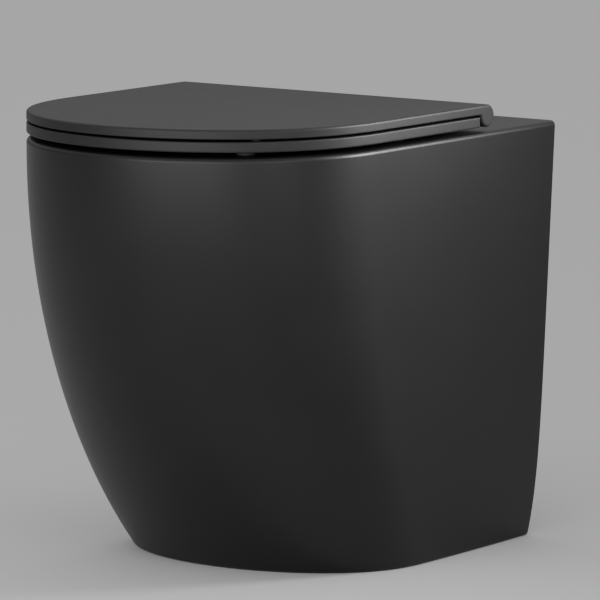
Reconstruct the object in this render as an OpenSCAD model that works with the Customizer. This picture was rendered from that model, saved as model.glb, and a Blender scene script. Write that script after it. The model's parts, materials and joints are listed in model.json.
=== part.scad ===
// Floor-standing, back-to-wall toilet with a slim soft-close seat and a wrap-over lid.
// Millimetres. +Z is up, +Y points to the wall and -Y to the user. The origin lies on the
// floor under the middle of the pan. Left is -X and right is +X.
// Distances called "from the wall" are measured forwards from the back face of the pan.

/* [Pan] */
// Height of the rim above the floor
rim_h = 405; // [390:1:430]
// Depth from the back face to the front of the rim
pan_depth = 470; // [455:1:540]
// Width of the rim and the deck
pan_w = 360; // [350:1:390]
// How far each side leans in on its way down to the floor
side_taper = 19.5; // [5:0.5:24]
// How much more each side tucks in just above the floor
foot_tuck = 10; // [2:0.5:14]
// How much wider each side of the foot is at its middle than at the wall
foot_swell = 5; // [0:0.5:8]
// How far the front of the foot stands behind the front of the rim
foot_setback = 157.5; // [110:0.5:165]
// Power of the curve along which the front sweeps back
sweep_power = 2.1; // [1.8:0.05:3]
// Length of the rounded nose at rim height
rim_nose = 182; // [160:1:200]
// Length of the rounded nose at the floor
foot_nose = 128; // [110:1:140]
// Fullness of the nose: 2 is half an ellipse, and more lets it run softly into the sides
nose_fullness = 2.3; // [2:0.05:2.6]
// Thickness of the ceramic wall
wall = 11; // [9:0.5:12]
// Thickness of the deck and of the rim
deck_t = 14; // [12:0.5:18]
// Radius along the top edge
rim_edge_r = 5; // [3:0.5:8]
// Radius along the edge that meets the floor
foot_edge_r = 3; // [1:0.5:5]
// Radius of the two upright edges at the wall
corner_r = 4; // [2:0.5:8]
// Width of the service opening in the back
service_w = 250; // [230:1:265]
// Height of the service opening above the floor
service_h = 372; // [360:1:378]
// Radius of the upper corners of the service opening
service_r = 25; // [10:1:40]

/* [Bowl] */
// Width of the bowl opening in the rim
bowl_w = 252; // [236:1:260]
// Distance from the wall to the back of the bowl opening
bowl_back = 172; // [171:1:184]
// Width of the rim in front of the bowl
front_rim = 38; // [34:1:46]
// Radius of the edge from the rim into the bowl
bowl_edge_r = 6; // [3:0.5:8]
// Depth of the flush shelf below the rim
shelf_drop = 36; // [32:1:44]
// How far the flush shelf stands in from the opening
shelf_w = 8; // [5:0.5:12]
// Height of the sump floor
sump_h = 97; // [92:1:99]
// Distance from the wall to the middle of the sump
sump_back = 258; // [254:1:264]
// Distance from the wall to the back of the sump
sump_wall_back = 240; // [238:1:244]

/* [Waste and flush ways] */
// Bore of the trapway
trap_d = 50; // [45:1:52]
// Height of the middle of the trapway where it leaves the sump
trap_low_h = 125; // [123:1:128]
// Depth of the water seal
seal_depth = 50; // [46:1:52]
// Thickness of the wall of the trapway
duct_wall = 8; // [6:0.5:8]
// Outer diameter of the waste spigot
spigot_d = 102; // [98:1:104]
// Bore of the waste spigot
spigot_bore = 82; // [78:1:86]
// Height of the middle of the waste spigot
spigot_h = 180; // [174:1:185]
// Distance from the wall to the open end of the waste spigot
spigot_back = 30; // [20:1:36]
// Length of the waste spigot
spigot_len = 50; // [44:1:54]
// Bore of the flush inlet
inlet_d = 55; // [50:1:56]
// Height of the middle of the flush inlet
inlet_h = 322; // [318:1:326]
// Distance from the wall to the open end of the flush inlet
inlet_back = 55; // [45:1:65]
// Length of the round part of the flush inlet
inlet_len = 62; // [50:1:70]
// Width of the slot through which the flush enters the bowl
slot_w = 110; // [80:1:120]
// Height of the slot through which the flush enters the bowl
slot_h = 14; // [8:1:16]

/* [Seat and lid] */
// Length of bare deck behind the lid
bare_deck = 106; // [100:1:112]
// Gap between the rim and the seat
rim_gap = 4.5; // [4.3:0.1:6]
// Thickness of the seat
seat_t = 10; // [9:0.5:12]
// Gap between the seat and the lid
lid_gap = 2; // [1.5:0.1:3]
// Thickness of the edge of the lid
lid_t = 9; // [8:0.5:10]
// Thickness of the lid inside its edge
lid_web_t = 5.5; // [4:0.5:7]
// Width of the flat border under the lid
lid_border = 18; // [16:1:24]
// Width of the opening in the seat
seat_hole_w = 214; // [200:1:228]
// Distance from the wall to the back of the opening in the seat
seat_hole_back = 190; // [184:1:198]
// Width of the seat in front of its opening
seat_front = 56; // [48:1:66]
// Radius along the upper edge of the lid
lid_edge_r = 2.5; // [1.5:0.5:3.5]
// Radius along the upper outer edge of the seat
seat_edge_r = 1.5; // [1:0.5:2.5]
// Radius of the upper inner edge of the seat
seat_lip_r = 6; // [4:0.5:7]
// Diameter of the pad of a seat buffer
buffer_d = 18; // [14:0.5:20]
// Diameter of the pad of a lid buffer
lid_buffer_d = 10; // [8:0.5:12]
// Diameter of the stems that hold the buffers
stem_d = 5; // [4:0.5:6]
// Length of the stems that hold the buffers
stem_len = 3.5; // [2.5:0.5:4]

/* [Hinges] */
// Radius of the round back edge of the lid
barrel_r = 10.75; // [10.5:0.05:11]
// Radius of the seat knuckles and of the fixed barrels
knuckle_r = 8; // [7.5:0.1:8.2]
// Distance between the middles of the two seat fixing holes
hole_spacing = 155; // [150:1:160]
// Diameter of the seat fixing holes
hole_d = 15; // [14:0.5:16]
// Distance from the wall to the seat fixing holes
hole_back = 136; // [135:0.5:137]
// Length of a fixed barrel
fixed_len = 33; // [28:1:36]
// Length of a seat knuckle
knuckle_len = 32; // [28:1:36]
// Play between the ends of neighbouring knuckles
end_play = 1; // [0.5:0.1:1.5]
// Diameter of the round foot of a hinge
foot_d = 40; // [36:1:42]
// Thickness of the foot of a hinge
foot_t = 2.6; // [2.2:0.1:2.7]
// Thickness of the gasket under a hinge
gasket_t = 1; // [0.6:0.1:1]
// Diameter of the hinge pins and damper shafts
pin_d = 6; // [5:0.1:6.4]
// Diameter of the seat damper
seat_damper_d = 10.4; // [9.6:0.1:11]
// Length of the seat damper
seat_damper_len = 30; // [24:1:30]
// Diameter of the lid damper
lid_damper_d = 14; // [12:0.1:15]
// Length of the lid damper
lid_damper_len = 44; // [36:1:56]
// Radial play of the pins in their bores
pin_play = 0.05; // [0.02:0.01:0.08]
// Thread diameter of the seat fixing bolts
bolt_d = 6; // [5:0.5:6]
// Length of the seat fixing bolts
bolt_len = 48; // [44:1:56]

/* [Floor fixing] */
// Distance from the wall to the floor brackets
bracket_back = 84; // [76:1:92]
// Distance between the holes for the two floor screws
floor_hole_spacing = 172; // [166:1:178]
// Diameter of the holes for the floor screws
floor_hole_d = 9; // [7:0.5:10]
// Width of a floor bracket
bracket_w = 40; // [34:1:44]
// Height of a floor bracket
bracket_h = 56; // [50:1:60]
// Length of the leg of a floor bracket that lies on the floor
bracket_leg = 52; // [48:1:58]
// Thickness of the floor brackets
bracket_t = 4; // [3:0.5:5]

/* [Hidden] */

// Colours
ceramic_black = "#26282b";
seat_black = "#303235";
rubber_grey = "#3c3c3e";
steel = "#b9bcc0";
brass = "#b99a55";
plastic_white = "#d8d8d4";

// Facets
side_n = 5;       // points along each straight side
nose_n = 14;      // points along each quarter of the nose
egg_n = 10;       // points along each quarter of the bowl
wall_n = 11;      // rings up the outside of the pan
ring_power = 1.3; // crowds those rings towards the floor, where the front curves most
round_n = 32;     // facets of a meshed cylinder
cut = 1;          // how far a cutting tool runs past the face that it cuts

// Heights of the stack above the rim
seat_z = rim_h + rim_gap;
seat_top = seat_z + seat_t;
lid_z = seat_top + lid_gap;
lid_top = lid_z + lid_t;
axis_z = lid_top - barrel_r;
axis_back = bare_deck + barrel_r;
axis_y = wall_y(axis_back);
run_gap = 0.3;              // between moving faces that do not bear on each other
barrel_gap = 0.8;           // between the round back of the lid and the seat
cover_r = knuckle_r + run_gap;

// Places of the knuckles along the axis, each for the right side
fixed_x = hole_spacing / 2 - fixed_len / 2;
fixed_end = fixed_x + fixed_len;
knuckle_end = fixed_x - end_play;
knuckle_x = knuckle_end - knuckle_len;
barrel_x = fixed_end + end_play;

function wall_y(d) = pan_depth / 2 - d;

// Shape of the pan's outside at a height: 0 at the rim, 1 at the floor
function drop(z) = (rim_h - max(0, min(rim_h, z))) / rim_h;
function back_half(z) = pan_w / 2 - side_taper * drop(z) - foot_tuck * pow(drop(z), 8);
function mid_half(z) = back_half(z) + foot_swell * drop(z);
function tip_at(z) = pan_depth - foot_setback * pow(drop(z), sweep_power);
function nose_at(z) = rim_nose + (foot_nose - rim_nose) * drop(z);

// Half the width of the nose at a share of its length
function nose_half(w, share) = w * sqrt(1 - pow(share, nose_fullness));

// Half of a plan outline, as [distance from the wall, distance from the middle], which runs
// from the middle of the back edge round one corner and along one side to the front tip
function half_outline(back, w_back, w_mid, mid, tip, corner, n_back, n_side, n_nose) = concat(
    [for (i = [0:n_back - 1]) [back, (w_back - corner) * i / n_back]],
    [for (a = [90:-45:0]) [back + corner * (1 - sin(a)), w_back - corner * (1 - cos(a))]],
    [for (i = [1:n_side - 1])
        let (u = i / n_side)
        [back + corner + (mid - back - corner) * u, w_mid - (w_mid - w_back) * pow(1 - u, 2)]],
    [for (i = [0:n_nose])
        let (a = 90 * i / n_nose)
        [mid + (tip - mid) * sin(a), nose_half(w_mid, sin(a))]]
);

// Half of an egg: half width w, with the front and back tips and the widest place from the wall
function half_egg(w, back, mid, tip, n) = [for (i = [0:2 * n])
    let (a = -90 + 90 * i / n)
    [mid + (a < 0 ? mid - back : tip - mid) * sin(a), w * cos(a)]];

// A whole ring of points from a half outline, at height z
function ring(half, z) = let (last = len(half) - 1) concat(
    [for (p = half) [p[1], wall_y(p[0]), z]],
    [for (i = [last - 1:-1:1]) [-half[i][1], wall_y(half[i][0]), z]]
);

// A half outline drawn in by s towards the point c from the wall on the middle line
function drawn_in(half, c, s) = [for (p = half)
    let (len = norm([p[0] - c, p[1]]), k = len > s ? 1 - s / len : 0)
    [c + (p[0] - c) * k, p[1] * k]];

// Ring of the pan's outside at height z, drawn in by inset, with its back edge at back
function pan_ring(z, inset, back, n_side, n_nose) = ring(
    half_outline(back, back_half(z) - inset, mid_half(z) - inset, tip_at(z) - nose_at(z),
        tip_at(z) - inset, corner_r, 1, n_side, n_nose),
    z);

// Closes rings of equal length, listed from the bottom up, into a solid. With loop, the last
// ring joins the first one again, as round a tube bent into a ring.
module skin(rings, loop = false) {
    n = len(rings[0]);
    r = len(rings);
    spans = loop ? r : r - 1;
    polyhedron(
        points = [for (q = rings) for (p = q) p],
        faces = concat(
            loop ? [] : [[for (i = [n - 1:-1:0]) i], [for (i = [0:n - 1]) (r - 1) * n + i]],
            [for (j = [0:spans - 1], i = [0:n - 1]) let (k = (j + 1) % r, m = (i + 1) % n)
                [j * n + i, j * n + m, k * n + m]],
            [for (j = [0:spans - 1], i = [0:n - 1]) let (k = (j + 1) % r, m = (i + 1) % n)
                [j * n + i, k * n + m, k * n + i]]
        ),
        convexity = 10
    );
}

// A rod along X from x0 to x1 round the hinge axis
module rod(r, x0, x1) {
    translate([x0, axis_y, axis_z]) rotate([0, 90, 0]) cylinder(r = r, h = x1 - x0, $fn = round_n);
}

// A box from one corner to the other
module box(a, b) {
    translate(a) cube(b - a);
}

module both_sides() {
    children();
    mirror([1, 0, 0]) children();
}

// Outside of the pan, with its rounded top and bottom edges
module pan_outside() {
    straight = rim_h - rim_edge_r - foot_edge_r;
    skin(concat(
        [for (a = [0:45:45]) pan_ring(foot_edge_r * (1 - cos(a)),
            foot_edge_r * (1 - sin(a)), 0, side_n, nose_n)],
        [for (i = [0:wall_n - 1]) pan_ring(foot_edge_r + straight * pow(i / wall_n, ring_power), 0, 0,
            side_n, nose_n)],
        [for (a = [0:30:90]) pan_ring(rim_h - rim_edge_r * (1 - sin(a)),
            rim_edge_r * (1 - cos(a)), 0, side_n, nose_n)]
    ));
}

// The space inside the foot, under the deck
module pan_hollow() {
    top = rim_h - deck_t;
    skin([for (i = [0:7])
        let (z = i == 0 ? -cut : top * i / 7)
        pan_ring(z, wall, wall, 3, 8)]);
}

// The opening in the back wall, through which the pipes are joined
module service_opening() {
    translate([0, wall_y(wall + cut), 0]) rotate([-90, 0, 0]) mirror([0, 1, 0])
        linear_extrude(wall + 2 * cut) {
            translate([-service_w / 2, -cut]) square([service_w, service_h - service_r + cut]);
            translate([-service_w / 2 + service_r, 0])
                square([service_w - 2 * service_r, service_h]);
            for (s = [-1, 1])
                translate([s * (service_w / 2 - service_r), service_h - service_r])
                    circle(service_r, $fn = 32);
        }
}

// Powers of the curves that shape the bowl from its shelf down to its sump
round_power = 1.25;     // how full the sides and the front stay on the way down
mid_power = 1.6;        // how late the middle moves back to the sump
back_power = 2.2;       // how early the back comes forward to the sump
floor_power = 24;       // how sharply the back turns into the sump floor

// Size of the bowl at depth s, from 0 at the flush shelf to 1 at the sump floor
bowl_top = rim_h - shelf_drop;
bowl_front = pan_depth - front_rim;
bowl_mid = (bowl_front + bowl_back) / 2;
cove = 4;               // height of the hollow corner at the back of the flush shelf
function bowl_round(s) = sqrt(1 - pow(s, round_power));
function bowl_half(s) = (bowl_w / 2 - shelf_w) * bowl_round(s);
function bowl_mid_at(s) = bowl_mid + (sump_back - bowl_mid) * pow(s, mid_power);
function bowl_tip_at(s) = bowl_mid_at(s) + (bowl_front - shelf_w - bowl_mid) * bowl_round(s);
function back_line(s) = sump_wall_back - (sump_wall_back - bowl_back - shelf_w)
    * pow(1 - s, back_power);
function bowl_back_at(s) = back_line(s) + (sump_back - back_line(s)) * pow(s, floor_power);
function bowl_ring(s, grow, n) = ring(
    half_egg(bowl_half(s) + grow, bowl_back_at(s) - grow, bowl_mid_at(s), bowl_tip_at(s) + grow, n),
    bowl_top - (bowl_top - sump_h) * s - grow * s);
function opening_ring(z, grow, n) = ring(
    half_egg(bowl_w / 2 + grow, bowl_back - grow, bowl_mid, bowl_front + grow, n), z);

// The inside of the bowl, from the sump floor up through the rim
module bowl_inside() {
    depths = [for (a = [84:-10.5:0]) sin(a)];
    skin(concat(
        [for (s = depths) bowl_ring(s, 0, egg_n)],
        [opening_ring(bowl_top + cove / 2, 1 - shelf_w, egg_n), opening_ring(bowl_top + cove, 0, egg_n)],
        [for (a = [0:30:90]) opening_ring(rim_h - bowl_edge_r * (1 - sin(a)),
            bowl_edge_r * (1 - cos(a)), egg_n)],
        [opening_ring(rim_h + cut, bowl_edge_r + cut, egg_n)]
    ));
}

// The outside of the bowl's own wall
module bowl_outside() {
    depths = [for (a = [84:-14:14]) sin(a)];
    skin(concat(
        [for (s = depths) bowl_ring(s, wall, 7)],
        [opening_ring(bowl_top + cove, wall, 7), opening_ring(rim_h - deck_t / 2, wall, 7)]
    ));
}

// Middle line of the trapway, as [distance from the wall, height, slope angle, radius]: level
// out of the sump, up, over the crest, down again and level into the spigot
duct_gap = 4;                                   // air between the rise and the fall
bend_r = trap_d / 2 + duct_wall + duct_gap / 2;
dip_back = sump_wall_back - 4;                  // the first bend starts just behind the sump
rise_back = dip_back - bend_r;
crest_back = rise_back - bend_r;
crest_z = trap_low_h + trap_d + seal_depth;
fall_angle = acos(1 - (crest_z - spigot_h) / (2 * bend_r));
fall_end = crest_back - 2 * bend_r * sin(fall_angle);
trap_r = trap_d / 2;
flare_end = spigot_back + spigot_len - 3;       // the flare ends inside the wall of the spigot
flare_r = spigot_bore / 2 + 1.5;
trap_line = concat(
    [[sump_back, trap_low_h, 0, trap_r]],
    [for (a = [0:15:90])
        [dip_back - bend_r * sin(a), trap_low_h + bend_r * (1 - cos(a)), a, trap_r]],
    [for (i = [0:8]) let (a = 90 - (90 + fall_angle) * i / 8)
        [crest_back + bend_r * sin(a), crest_z - bend_r * (1 - cos(a)), a, trap_r]],
    [for (i = [1:5]) let (a = fall_angle * (1 - i / 5))
        [fall_end + bend_r * sin(a), spigot_h + bend_r * (1 - cos(a)), -a, trap_r]],
    [for (i = [1:4]) let (u = i / 4)
        [fall_end + (flare_end - fall_end) * u, spigot_h, 0,
            trap_r + (flare_r - trap_r) * u * u * (3 - 2 * u)]]
);

// A round duct along the trapway, larger than its bore by grow, with n sides
module duct(grow, n) {
    skin([for (p = trap_line)
        [for (i = [0:n - 1]) let (a = 360 * i / n, r = p[3] + grow)
            [r * cos(a), wall_y(p[0] + r * sin(a) * sin(p[2])), p[1] + r * sin(a) * cos(p[2])]]]);
}

// Thick pads on the inside of the foot, which the floor brackets clamp
pad_border = 5;         // how far a pad reaches past its bracket
pad_w = bracket_w + 2 * pad_border;
pad_h = bracket_h + pad_border;
pad_face = floor_hole_spacing / 2 + bracket_leg / 2 + bracket_t;
module bracket_pads() {
    intersection() {
        both_sides() box(
            [pad_face, wall_y(bracket_back + pad_w / 2), 0],
            [pan_w / 2, wall_y(bracket_back - pad_w / 2), pad_h]);
        skin([for (z = [-cut, pad_h / 2, pad_h + cut]) pan_ring(z, wall / 2, wall / 2, 3, 8)]);
    }
}

// The whole casting except its turned bores
module pan_casting() {
    difference() {
        union() {
            difference() {
                pan_outside();
                pan_hollow();
                service_opening();
            }
            bowl_outside();
            duct(duct_wall, 14);
            bracket_pads();
            inlet_body();
        }
        bowl_inside();
        duct(0, 16);
        flush_slot();
    }
}

// Outside of the flush inlet, from its open end to the back of the bowl
inlet_r = inlet_d / 2 + wall;
mouth_len = 4;          // length of the straight mouth of the inlet's chamber
module inlet_body() {
    front = bowl_back + shelf_w;
    translate([0, wall_y(inlet_back), inlet_h]) rotate([90, 0, 0])
        cylinder(r = inlet_r, h = inlet_len + wall / 2, $fn = round_n);
    hull() {
        box([-inlet_r, wall_y(inlet_back + inlet_len + wall / 2), inlet_h - inlet_r / 2],
            [inlet_r, wall_y(inlet_back + inlet_len - wall), rim_h - deck_t / 2]);
        box([-slot_w / 2 - wall, wall_y(front), bowl_top - wall],
            [slot_w / 2 + wall, wall_y(front - mouth_len), rim_h - deck_t / 2]);
    }
}

// The slot that leads the flush up from the inlet and spreads it over the flush shelf
module flush_slot() {
    top = inlet_h + inlet_d / 2 - 1;
    low = bowl_top + 1;
    back = inlet_back + inlet_len;
    front = bowl_back + shelf_w + mouth_len;
    hull() {
        box([-inlet_d / 4, wall_y(back + 2), top - slot_h],
            [inlet_d / 4, wall_y(back - 2 * mouth_len), top]);
        box([-slot_w / 2, wall_y(front), low], [slot_w / 2, wall_y(front - slot_h), low + slot_h]);
    }
}

// A round bar from the distance back from the wall, forwards along -Y by len
module bar(d, back, z, len) {
    translate([0, wall_y(back), z]) rotate([90, 0, 0]) cylinder(d = d, h = len);
}

module pan() {
    color(ceramic_black) difference() {
        union() {
            resize([pan_w, pan_depth, rim_h]) pan_casting();
            difference() {
                bar(spigot_d, spigot_back, spigot_h, spigot_len);
                bar(spigot_bore, spigot_back - cut, spigot_h, spigot_len + 2 * cut);
            }
        }
        union() {
            bar(inlet_d, inlet_back - cut, inlet_h, inlet_len + cut);
            both_sides() translate([hole_spacing / 2, wall_y(hole_back), rim_h - deck_t - cut])
                cylinder(d = hole_d, h = deck_t + 2 * cut);
            both_sides() plug_place() cylinder(d = plug_d, h = plug_len);
        }
    }
}

// Plan outline that the seat and the lid share, with its back edge at back
function cover_half(back, corner) = half_outline(back, pan_w / 2, pan_w / 2,
    pan_depth - rim_nose, pan_depth, corner, 7, side_n, 15);
cover_mid = pan_depth - rim_nose;

seat_back = axis_back + barrel_r + barrel_gap;
seat_outer = cover_half(seat_back, 3);
seat_hole_mid = (seat_hole_back + pan_depth - seat_front) / 2;
seat_inner = [for (p = seat_outer)
    let (a = atan2(p[0] - seat_hole_mid, p[1]), reach = pan_depth - seat_front - seat_hole_mid)
    [seat_hole_mid + reach * sin(a), seat_hole_w / 2 * cos(a)]];

// Ring of the seat: across from the outer edge by a length and a share of the width
function seat_ring(len, share, z) = ring(
    [for (i = [0:len(seat_outer) - 1])
        let (o = seat_outer[i], v = seat_inner[i] - o)
        o + v * (share + len / norm(v))],
    seat_z + z);

crown = 0.8;            // how far the top of the seat falls towards its opening
under_edge = 1.5;       // size of the edges under the seat
module seat_plate() {
    inner_top = seat_t - crown;
    skin(concat(
        [seat_ring(under_edge, 0, 0), seat_ring(0, 0, under_edge)],
        [for (a = [0:30:90])
            seat_ring(seat_edge_r * (1 - cos(a)), 0, seat_t - seat_edge_r * (1 - sin(a)))],
        [seat_ring(0, 0.5, seat_t - crown / 4)],
        [for (a = [0:22.5:90])
            seat_ring(seat_lip_r * (sin(a) - 1), 1, inner_top - seat_lip_r * (1 - cos(a)))],
        [seat_ring(0, 1, under_edge), seat_ring(-under_edge, 1, 0)]
    ), loop = true);
}

// The two knuckles of the seat, each on an arm from its back edge
module seat_knuckles() {
    both_sides() {
        rod(knuckle_r, knuckle_x, knuckle_end);
        box([knuckle_x, wall_y(seat_back + 1), axis_z - arm_low],
            [knuckle_end, axis_y - arm_back, seat_top - arm_step]);
    }
}
arm_low = 7.5;      // depth of the underside of an arm below the axis
arm_back = 5;       // distance of the end of an arm in front of the axis
arm_step = 0.25;    // how far the top of an arm lies below the top of the seat

// A plain or a flatted hole along the hinge axis from x0 to x1
module axis_hole(d, x0, x1, flat = 0) {
    intersection() {
        translate([x0, axis_y, axis_z]) rotate([0, 90, 0]) cylinder(d = d, h = x1 - x0);
        if (flat > 0)
            translate([x0, axis_y - d, axis_z - flat]) cube([x1 - x0, 2 * d, 2 * d]);
    }
}

module seat() {
    color(seat_black) difference() {
        resize([pan_w, pan_depth - axis_back + knuckle_r, 0]) union() {
            seat_plate();
            seat_knuckles();
        }
        axis_hole(seat_damper_d + 2 * pin_play, knuckle_end - seat_damper_len, knuckle_end + cut,
            seat_damper_d / 2 - damper_flat + pin_play);
        axis_hole(pin_d + 2 * pin_play, -knuckle_end - cut, -knuckle_end + seat_pin_len + end_room);
        both_sides() bolt_head_room();
        both_sides() for (p = seat_buffer_places)
            translate([p[1], wall_y(p[0]), seat_z - cut]) cylinder(d = stem_d, h = stem_len + cut + run_gap);
    }
}

// Room under the seat for the head of a fixing bolt, open towards the hinge
module bolt_head_room() {
    head_top = bolt_seat_z + bolt_head_t + 0.8;
    r = bolt_head_d / 2 + head_room;
    translate([hole_spacing / 2, wall_y(hole_back), seat_z - cut])
        cylinder(r = r, h = head_top - seat_z + cut);
    box([hole_spacing / 2 - r, wall_y(hole_back), seat_z - cut],
        [hole_spacing / 2 + r, wall_y(seat_back - 2 * cut), head_top]);
}

module lid_plate() {
    outer = cover_half(axis_back, 1);
    function lid_ring(s, z) = ring(drawn_in(outer, cover_mid, s), lid_z + z);
    skin(concat(
        [lid_ring(lid_border + 4, lid_t - lid_web_t), lid_ring(lid_border, 0)],
        [lid_ring(1, 0), lid_ring(0, 1)],
        [for (a = [0:22.5:90]) lid_ring(lid_edge_r * (1 - cos(a)), lid_t - lid_edge_r * (1 - sin(a)))]
    ));
}

// Round back edge of the lid, rounded at its ends like the upper edge of the plate
module lid_barrel() {
    half = pan_w / 2;
    translate([0, axis_y, axis_z]) rotate([0, 90, 0]) rotate_extrude($fn = 64) polygon(concat(
        [[0, -half]],
        [for (a = [0:22.5:90]) [barrel_r - lid_edge_r * (1 - sin(a)), -half + lid_edge_r * (1 - cos(a))]],
        [for (a = [90:-22.5:0]) [barrel_r - lid_edge_r * (1 - sin(a)), half - lid_edge_r * (1 - cos(a))]],
        [[0, half]]
    ));
}

lap = 1.9;          // how far the lid reaches behind the axis over the fixed barrels
curl_drop = 3.7;    // how far the lid curls down below the axis behind the seat knuckles
reach = barrel_r + cut;

module lid_shell() {
    split = (knuckle_end + fixed_x) / 2;
    difference() {
        union() {
            lid_plate();
            lid_barrel();
        }
        rod(cover_r, -barrel_x, barrel_x);
        box([-barrel_x, axis_y - reach, axis_z - reach], [barrel_x, axis_y, lid_z]);
        box([-split, axis_y - reach, axis_z - reach], [split, axis_y + reach, axis_z - curl_drop]);
        both_sides() {
            box([split, axis_y - reach, axis_z - reach], [barrel_x, axis_y + reach, axis_z + 1]);
            box([split, axis_y + lap, axis_z - reach], [barrel_x, axis_y + reach, axis_z + reach]);
        }
    }
}

module lid() {
    color(seat_black) difference() {
        resize([pan_w, pan_depth - bare_deck, 0]) lid_shell();
        axis_hole(lid_damper_d + 2 * pin_play, -barrel_x - lid_damper_len - end_room, -barrel_x + cut,
            lid_damper_d / 2 - damper_flat + pin_play);
        axis_hole(pin_d + 2 * pin_play, barrel_x - cut, barrel_x + lid_pin_len + end_room);
        both_sides() translate([lid_buffer_place[1], wall_y(lid_buffer_place[0]), lid_z - cut])
            cylinder(d = stem_d, h = stem_len + cut + run_gap);
    }
}

// Hinges
socket_wall = 4;                     // what stays solid in the middle of a fixed barrel
socket_len = (fixed_len - socket_wall) / 2;
end_room = 1;                        // room past the end of a pin or a damper
damper_flat = 1;                     // depth of the flat that keeps a damper from turning
shaft_flat = 0.8;                    // depth of the flat on a damper shaft
seat_pin_len = 24;                   // length of the seat's pin inside its knuckle
lid_pin_len = 30;                    // length of the lid's pin inside the lid
post_w = 22;                         // width of the post of a hinge
post_back = 3.6;                     // distance of the back of the post in front of the axis
post_front = 10;                     // distance of the front of the post in front of the axis
post_drop = 3;                       // distance of the top of the post below the axis
bolt_play = 0.4;                     // by which the holes are wider than the bolts

// A hinge on the right; each end of its barrel takes a plain pin or a flatted shaft
module hinge_base(flat_inside, flat_outside) {
    middle = hole_spacing / 2;
    hole = pin_d + 2 * pin_play;
    flat = pin_d / 2 - shaft_flat + pin_play;
    color(steel) difference() {
        union() {
            translate([middle, wall_y(hole_back), rim_h + gasket_t]) cylinder(d = foot_d, h = foot_t);
            translate([fixed_x, axis_y, axis_z]) rotate([0, 90, 0]) cylinder(r = knuckle_r, h = fixed_len);
            box([middle - post_w / 2, axis_y - post_front, rim_h + gasket_t + foot_t / 2],
                [middle + post_w / 2, axis_y - post_back, axis_z - post_drop]);
        }
        axis_hole(hole, fixed_x - cut, fixed_x + socket_len, flat_inside ? flat : 0);
        axis_hole(hole, fixed_end - socket_len, fixed_end + cut, flat_outside ? flat : 0);
        translate([middle, wall_y(hole_back), rim_h]) 
            cylinder(d = bolt_d + bolt_play, h = gasket_t + foot_t + cut);
    }
}
module hinge_base_left() { mirror([1, 0, 0]) hinge_base(false, true); }
module hinge_base_right() { hinge_base(true, false); }

gasket_inset = 0.5;                  // how far a gasket stays inside the edge of its foot
module hinge_gasket() {
    color(rubber_grey) translate([hole_spacing / 2, wall_y(hole_back), rim_h]) difference() {
        cylinder(d = foot_d - 2 * gasket_inset, h = gasket_t);
        translate([0, 0, -cut]) cylinder(d = bolt_d + bolt_play, h = gasket_t + 2 * cut);
    }
}
module hinge_gasket_left() { mirror([1, 0, 0]) hinge_gasket(); }
module hinge_gasket_right() { hinge_gasket(); }

bolt_head_d = 11;
bolt_head_t = 3;
head_room = 2;                       // room round the head of a bolt under the seat
socket_floor = 1;                    // what the hexagon socket leaves of the head
hex_d = 5.8;                         // hexagon sockets, across their corners
bolt_seat_z = rim_h + gasket_t + foot_t;
module fixing_bolt() {
    color(steel) translate([hole_spacing / 2, wall_y(hole_back), bolt_seat_z]) difference() {
        union() {
            cylinder(d = bolt_head_d, h = bolt_head_t);
            translate([0, 0, -bolt_len]) cylinder(d = bolt_d, h = bolt_len + 0.5);
        }
        translate([0, 0, socket_floor]) cylinder(d = hex_d, h = bolt_head_t, $fn = 6);
    }
}
module fixing_bolt_left() { mirror([1, 0, 0]) fixing_bolt(); }
module fixing_bolt_right() { fixing_bolt(); }

// Rubber sleeve that swells under the deck when its nut is drawn up
nut_flange_t = 2;
nut_flange_d = 17;
nut_t = 6;
nut_d = 12;                          // across the corners of the nut
bolt_past = 1.5;                     // how far a bolt reaches past its nut
sleeve_play = 0.2;                   // between a sleeve and its hole
sleeve_bulge = 3;                    // how far a sleeve swells past its hole
sleeve_slope = 5;                    // length of the slope at the foot of a sleeve
sleeve_shoulder = 4;                 // length of the slope at the shoulder of a sleeve
sleeve_low = bolt_seat_z - bolt_len + bolt_past + nut_t + nut_flange_t;
module expansion_sleeve() {
    deck_low = rim_h - deck_t;
    r_in = bolt_d / 2 + sleeve_play / 2;
    r_hole = hole_d / 2 - sleeve_play;
    bulge = r_hole + sleeve_bulge;
    color(rubber_grey) translate([hole_spacing / 2, wall_y(hole_back), 0]) rotate_extrude() polygon([
        [r_in, sleeve_low], [r_hole, sleeve_low], [bulge, sleeve_low + sleeve_slope],
        [bulge, deck_low - sleeve_shoulder], [bulge - sleeve_bulge / 2, deck_low],
        [r_hole, deck_low], [r_hole, rim_h], [r_in, rim_h]
    ]);
}
module expansion_sleeve_left() { mirror([1, 0, 0]) expansion_sleeve(); }
module expansion_sleeve_right() { expansion_sleeve(); }

module clamp_nut() {
    color(brass) translate([hole_spacing / 2, wall_y(hole_back), sleeve_low - nut_flange_t - nut_t])
        difference() {
            union() {
                cylinder(d = nut_d, h = nut_t + nut_flange_t / 2, $fn = 6);
                translate([0, 0, nut_t]) cylinder(d = nut_flange_d, h = nut_flange_t);
            }
            translate([0, 0, -cut]) cylinder(d = bolt_d + 2 * pin_play, h = nut_t + nut_flange_t + 2 * cut);
        }
}
module clamp_nut_left() { mirror([1, 0, 0]) clamp_nut(); }
module clamp_nut_right() { clamp_nut(); }

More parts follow.
